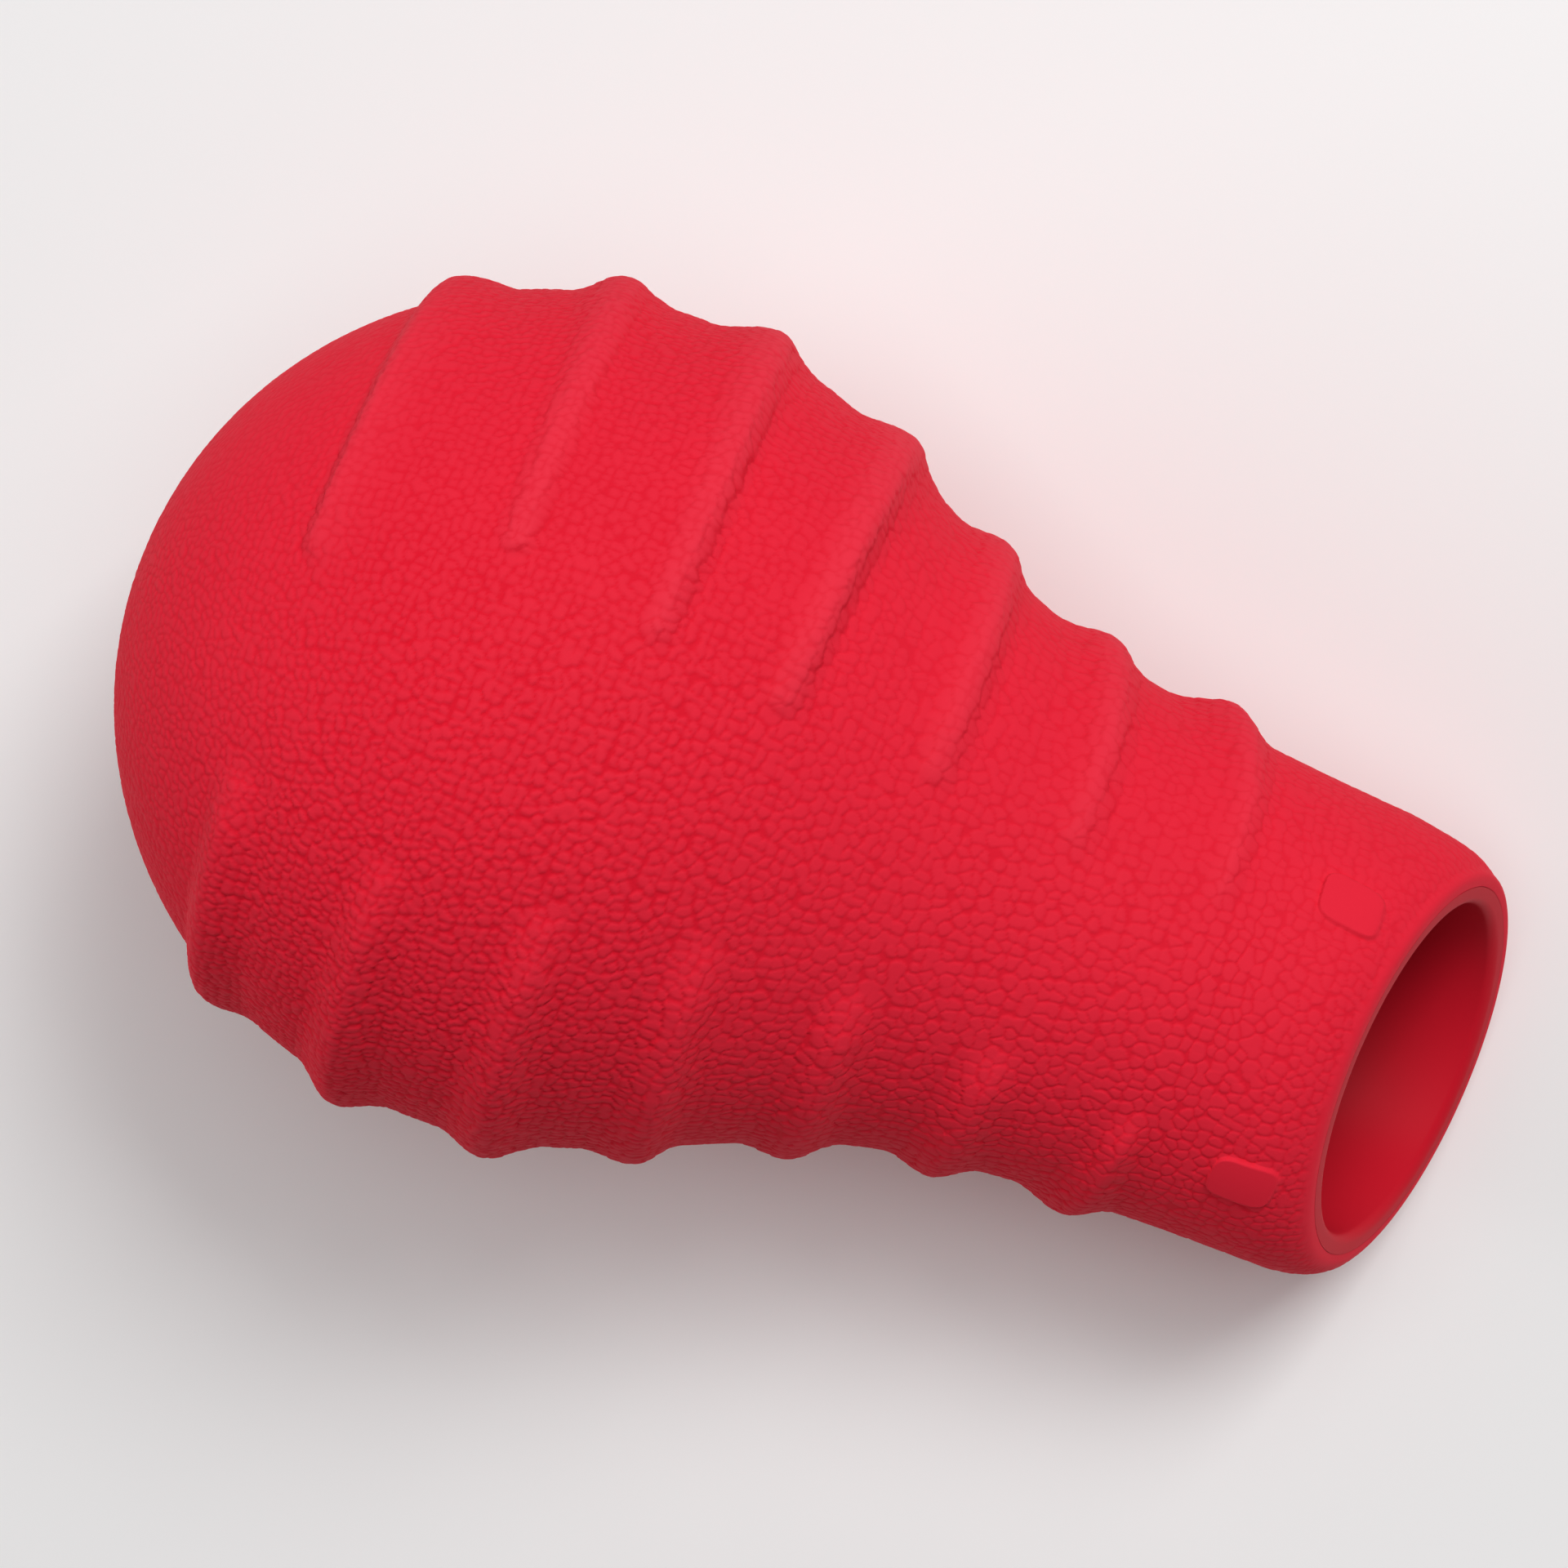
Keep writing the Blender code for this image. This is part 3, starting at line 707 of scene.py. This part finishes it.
def moulded_rubber():
    """Natural rubber pressed in a pebbled mould.

    To the eye it is a matte, slightly chalky red whose tone drifts over about 17 mm. The rib crests are a
    paler pink, partly the rubber's blooming and wear and partly a painted highlight, fullest on the lit upper
    fan. The crevices between the pebbles are painted a deeper, darker red as painted shade, and talc specks
    of about 0.4 mm break up what little shine there is."""
    material = bpy.data.materials.new("moulded_natural_rubber")
    material.use_nodes = True
    tree = material.node_tree
    shader = tree.nodes["Principled BSDF"]
    place = add_node(tree, "ShaderNodeTexCoord").outputs["Object"]
    crevice = add_node(tree, "ShaderNodeAttribute", {"attribute_name": "crevice"}).outputs["Fac"]
    wear_and_highlight = add_node(tree, "ShaderNodeAttribute", {"attribute_name": "wear_and_highlight"}).outputs["Fac"]
    drift_look = {"Scale": TONE_DRIFT_PER_MM / MM, "Detail": 3.0}
    drift = add_node(tree, "ShaderNodeTexNoise", drift_look, {"Vector": place}).outputs["Fac"]
    talc_look = {"Scale": TALC_SPECKS_PER_MM / MM, "Detail": 2.0}
    talc = add_node(tree, "ShaderNodeTexNoise", talc_look, {"Vector": place}).outputs["Fac"]

    reds = {"data_type": "RGBA", 6: colour(RUBBER_REDS[0]), 7: colour(RUBBER_REDS[1])}
    red = add_node(tree, "ShaderNodeMix", reds, {0: drift}).outputs[2]
    # Paler pink on the crests: partly blooming and wear, partly a painted highlight, fuller on the lit upper
    # fan
    bloom_and_highlight_part = {"operation": "MULTIPLY", 1: BLOOM_AND_HIGHLIGHT_SHARE}
    bloom_and_highlight = add_node(tree, "ShaderNodeMath", bloom_and_highlight_part, {0: wear_and_highlight}).outputs[0]
    pink = {"data_type": "RGBA", 7: colour(BLOOM_AND_HIGHLIGHT_PINK)}
    paler = add_node(tree, "ShaderNodeMix", pink, {0: bloom_and_highlight, 6: red}).outputs[2]
    # Painted shade: the crevices are mixed towards a deeper, darker red
    crevice_shade_part = {"operation": "MULTIPLY", 1: CREVICE_SHADE_SHARE}
    depth = add_node(tree, "ShaderNodeMath", crevice_shade_part, {0: crevice}).outputs[0]
    shade_red = {"data_type": "RGBA", 7: colour(CREVICE_SHADE_RED)}
    shaded = add_node(tree, "ShaderNodeMix", shade_red, {0: depth, 6: paler}).outputs[2]
    tree.links.new(shaded, shader.inputs["Base Color"])

    dulled = {"To Min": RUBBER_ROUGHNESS[0], "To Max": RUBBER_ROUGHNESS[1]}
    dull = add_node(tree, "ShaderNodeMapRange", dulled, {"Value": talc}).outputs["Result"]
    tree.links.new(dull, shader.inputs["Roughness"])
    talc_bump = {"Strength": TALC_STRENGTH, "Distance": TALC_DEPTH * MM}
    bump = add_node(tree, "ShaderNodeBump", talc_bump, {"Height": talc}).outputs["Normal"]
    tree.links.new(bump, shader.inputs["Normal"])
    shader.inputs["Specular IOR Level"].default_value = RUBBER_SHINE
    return material


def smooth_rubber():
    """The same rubber moulded on a polished core.

    To the eye it is smooth and clear red at the mouth, and painted darker from there inwards as painted shade
    deeper in the bore. Its tone drifts over about 22 mm, and a faint grain of about 0.6 mm keeps it from
    looking like paint."""
    material = bpy.data.materials.new("core_moulded_rubber")
    material.use_nodes = True
    tree = material.node_tree
    shader = tree.nodes["Principled BSDF"]
    place = add_node(tree, "ShaderNodeTexCoord").outputs["Object"]
    deeper = add_node(tree, "ShaderNodeAttribute", {"attribute_name": "deeper"}).outputs["Fac"]
    drift_look = {"Scale": BORE_DRIFT_PER_MM / MM, "Detail": 3.0}
    drift = add_node(tree, "ShaderNodeTexNoise", drift_look, {"Vector": place}).outputs["Fac"]
    reds = {"data_type": "RGBA", 6: colour(BORE_SHADE_REDS[0]), 7: colour(BORE_SHADE_REDS[1])}
    red = add_node(tree, "ShaderNodeMix", reds, {0: drift}).outputs[2]
    # The bore's red turns from the mouth's clear red to the darker reds inwards: painted shade
    mouth_red = {"data_type": "RGBA", 6: colour(BORE_MOUTH_RED)}
    dulled = add_node(tree, "ShaderNodeMix", mouth_red, {0: deeper, 7: red}).outputs[2]
    tree.links.new(dulled, shader.inputs["Base Color"])
    grain_look = {"Scale": BORE_GRAIN_PER_MM / MM, "Detail": 2.0}
    grain = add_node(tree, "ShaderNodeTexNoise", grain_look, {"Vector": place}).outputs["Fac"]
    grain_bump = {"Strength": BORE_GRAIN_STRENGTH, "Distance": BORE_GRAIN_DEPTH * MM}
    bump = add_node(tree, "ShaderNodeBump", grain_bump, {"Height": grain}).outputs["Normal"]
    tree.links.new(bump, shader.inputs["Normal"])
    shader.inputs["Roughness"].default_value = BORE_ROUGHNESS
    shader.inputs["Specular IOR Level"].default_value = BORE_SHINE
    return material


FLOOR_HALF = 3000.0 * MM


def pale_floor():
    """Plain floor of matte white board: pale, even, and without shine."""
    material = bpy.data.materials.new("matte_white_board")
    material.use_nodes = True
    shader = material.node_tree.nodes["Principled BSDF"]
    shader.inputs["Base Color"].default_value = colour(BOARD_WHITE)
    shader.inputs["Roughness"].default_value = BOARD_ROUGHNESS
    shader.inputs["Specular IOR Level"].default_value = BOARD_SHINE
    corners = [(FLOOR_HALF * x, FLOOR_HALF * y, 0.0) for x, y in ((-1, -1), (1, -1), (1, 1), (-1, 1))]
    mesh = bpy.data.meshes.new("floor")
    mesh.from_pydata(corners, [], [(0, 1, 2, 3)])
    floor = bpy.data.objects.new("floor", mesh)
    bpy.context.scene.collection.objects.link(floor)
    mesh.materials.append(material)


# Camera: seen from above, the axis falling to the right
CAMERA_ROLL_DEG = 5.0
AXIS_FALL_DEG = 22.485
AIM_STATION = 83.15
AIM_SIDE = 3.178
CAMERA_DISTANCE = 500.0
LENS = 93.1
SENSOR = 36.0

# Soft boxes: name, direction along the picture's right, its top and the camera, distance, width and watts
SOFT_BOXES = (
    ("window_light", (0.27, 0.42, 0.87), 1200.0, 420.0, 7.1),
    ("front_light", (0.0, 0.16, 1.0), 900.0, 750.0, 3.7),
    ("side_light", (-0.98, 0.12, 0.2), 900.0, 600.0, 2.3),
    ("far_light", (-0.1, 0.95, 0.3), 900.0, 700.0, 0.2),
)
ROOM_WHITE = "FFFFFF"
ROOM_STRENGTH = 0.1


def picture_directions():
    """Directions to the camera, to the right and to the top of the picture, and across the toy's axis."""
    roll = math.radians(CAMERA_ROLL_DEG)
    fall = math.radians(AXIS_FALL_DEG)
    toward = math.cos(roll) * UPWARD + math.sin(roll) * SIDEWAYS
    across = np.cross(toward, ALONG)
    right = math.cos(fall) * ALONG + math.sin(fall) * across
    top = -math.sin(fall) * ALONG + math.cos(fall) * across
    return toward, right, top, across


def make_camera():
    """The camera over the toy, looking straight down its own direction, and the point it aims at."""
    toward, right, top, across = picture_directions()
    aim = POLE + AIM_STATION * ALONG + AIM_SIDE * across
    camera = bpy.data.objects.new("camera", bpy.data.cameras.new("camera"))
    camera.data.sensor_width = SENSOR
    camera.data.lens = LENS
    matrix = Matrix([list(row) for row in np.column_stack((right, top, toward))]).to_4x4()
    matrix.translation = Vector((aim + CAMERA_DISTANCE * toward) * MM)
    camera.matrix_world = matrix
    bpy.context.scene.collection.objects.link(camera)
    bpy.context.scene.camera = camera
    return aim


def add_soft_box(aim, name, direction, distance, width, power):
    """Square soft light that faces the aim from a direction in the picture."""
    toward, right, top, _ = picture_directions()
    out = direction[0] * right + direction[1] * top + direction[2] * toward
    out /= np.linalg.norm(out)
    lamp = bpy.data.lights.new(name, "AREA")
    lamp.shape = "SQUARE"
    lamp.size = width * MM
    lamp.energy = power
    light = bpy.data.objects.new(name, lamp)
    place = Matrix.Translation(Vector((aim + distance * out) * MM))
    light.matrix_world = place @ Vector(out).to_track_quat("Z", "Y").to_matrix().to_4x4()
    bpy.context.scene.collection.objects.link(light)


def make_light(aim):
    """A window light over the toy, a broad light in front, a weaker one at the bulb's end, a faint one beyond
    the toy, and a pale room. Colours are shown as they are, without a film look."""
    for soft_box in SOFT_BOXES:
        add_soft_box(aim, *soft_box)
    room = bpy.data.worlds.new("pale_room")
    room.use_nodes = True
    background = room.node_tree.nodes["Background"]
    background.inputs["Color"].default_value = colour(ROOM_WHITE)
    background.inputs["Strength"].default_value = ROOM_STRENGTH
    bpy.context.scene.world = room
    bpy.context.scene.view_settings.view_transform = "Standard"


make_skin(moulded_rubber())
make_lining(smooth_rubber())
pale_floor()
make_light(make_camera())
